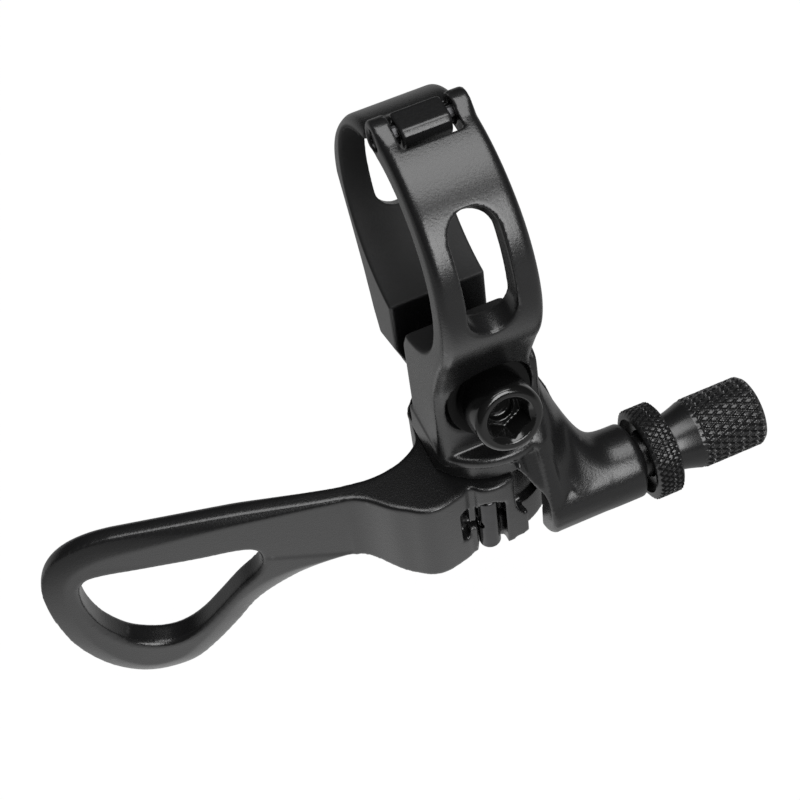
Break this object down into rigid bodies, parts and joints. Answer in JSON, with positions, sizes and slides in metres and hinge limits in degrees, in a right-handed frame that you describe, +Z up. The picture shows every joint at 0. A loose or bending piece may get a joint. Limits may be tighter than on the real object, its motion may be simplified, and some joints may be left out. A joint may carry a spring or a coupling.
{
  "type": "dropper post remote lever",
  "caption": "Black thumb lever for a dropper seat post, with a hinged handlebar clamp, a paddle with a large opening and a knurled barrel adjuster.",
  "frame": {"origin": "handlebar's axis, in the middle of the clamp band", "axes": "+X along the handlebar towards the cable adjuster, +Y forward away from the rider, +Z up along the lever's pivot"},
  "size_m": [0.079, 0.0298, 0.0709],
  "materials": {
    "black": "satin black anodised",
    "dark_steel": "black oxide, polished",
    "steel": "ground",
    "bright_steel": "polished",
    "brass": "turned"
  },
  "bodies": {
    "mount": {"clamp_body": "black", "hinge_pin": "dark_steel", "pivot_bolt": "dark_steel", "bearing_cover": "black", "bearing_spacer": "steel", "upper_bearing_inner_ring": "steel", "lower_bearing_inner_ring": "steel"},
    "lever": {"thumb_lever": "black", "upper_bearing_outer_ring": "steel", "lower_bearing_outer_ring": "steel"},
    "upper_cage": {"upper_bearing_cage": "brass", "upper_bearing_ball_1": "bright_steel", "upper_bearing_ball_2": "bright_steel", "upper_bearing_ball_3": "bright_steel", "upper_bearing_ball_4": "bright_steel", "upper_bearing_ball_5": "bright_steel", "upper_bearing_ball_6": "bright_steel", "upper_bearing_ball_7": "bright_steel"},
    "lower_cage": {"lower_bearing_cage": "brass", "lower_bearing_ball_1": "bright_steel", "lower_bearing_ball_2": "bright_steel", "lower_bearing_ball_3": "bright_steel", "lower_bearing_ball_4": "bright_steel", "lower_bearing_ball_5": "bright_steel", "lower_bearing_ball_6": "bright_steel", "lower_bearing_ball_7": "bright_steel"},
    "anchor": {"cable_anchor": "steel", "cable_clamp_screw": "dark_steel"},
    "strap": {"clamp_strap": "black"},
    "bolt": {"clamp_bolt": "dark_steel", "clamp_washer": "dark_steel"},
    "ring": {"lock_ring": "black"},
    "adjuster": {"barrel_adjuster": "black"}
  },
  "joints": [
    {"name": "lever_pivot", "type": "hinge", "parent": "mount", "child": "lever", "pos_m": [0.0014, -0.0036, -0.034], "axis": [0, 0, -1], "range_deg": [0, 35]},
    {"name": "upper_cage_turn", "type": "hinge", "parent": "mount", "child": "upper_cage", "pos_m": [0.0014, -0.0036, -0.034], "axis": [0, 0, -1], "range_deg": [0, 21]},
    {"name": "lower_cage_turn", "type": "hinge", "parent": "mount", "child": "lower_cage", "pos_m": [0.0014, -0.0036, -0.034], "axis": [0, 0, -1], "range_deg": [0, 21]},
    {"name": "anchor_swivel", "type": "hinge", "parent": "lever", "child": "anchor", "pos_m": [-0.0015, -0.01085, -0.034], "axis": [0, 0, 1], "range_deg": [0, 35]},
    {"name": "strap_hinge", "type": "hinge", "parent": "mount", "child": "strap", "pos_m": [0, 0.00022, 0.01258], "axis": [1, 0, 0], "range_deg": [0, 4]},
    {"name": "bolt_travel", "type": "slide", "parent": "strap", "child": "bolt", "axis": [0, -0.9272, 0.3746], "range_m": [0, 0.0026]},
    {"name": "lock_ring_turn", "type": "hinge", "parent": "mount", "child": "ring", "pos_m": [0.018, -0.011, -0.0352], "axis": [1, 0, 0], "range_deg": [-180, 180]},
    {"name": "adjuster_turn", "type": "hinge", "parent": "mount", "child": "adjuster", "pos_m": [0.025, -0.011, -0.0352], "axis": [1, 0, 0], "range_deg": [0, 1080]}
  ],
  "couplings": [
    {"joint": "upper_cage_turn", "follows": "lever_pivot", "ratio": 0.6},
    {"joint": "lower_cage_turn", "follows": "lever_pivot", "ratio": 0.6},
    {"joint": "anchor_swivel", "follows": "lever_pivot", "ratio": 1},
    {"joint": "bolt_travel", "follows": "strap_hinge", "m_per_rad": 0.0365}
  ]
}
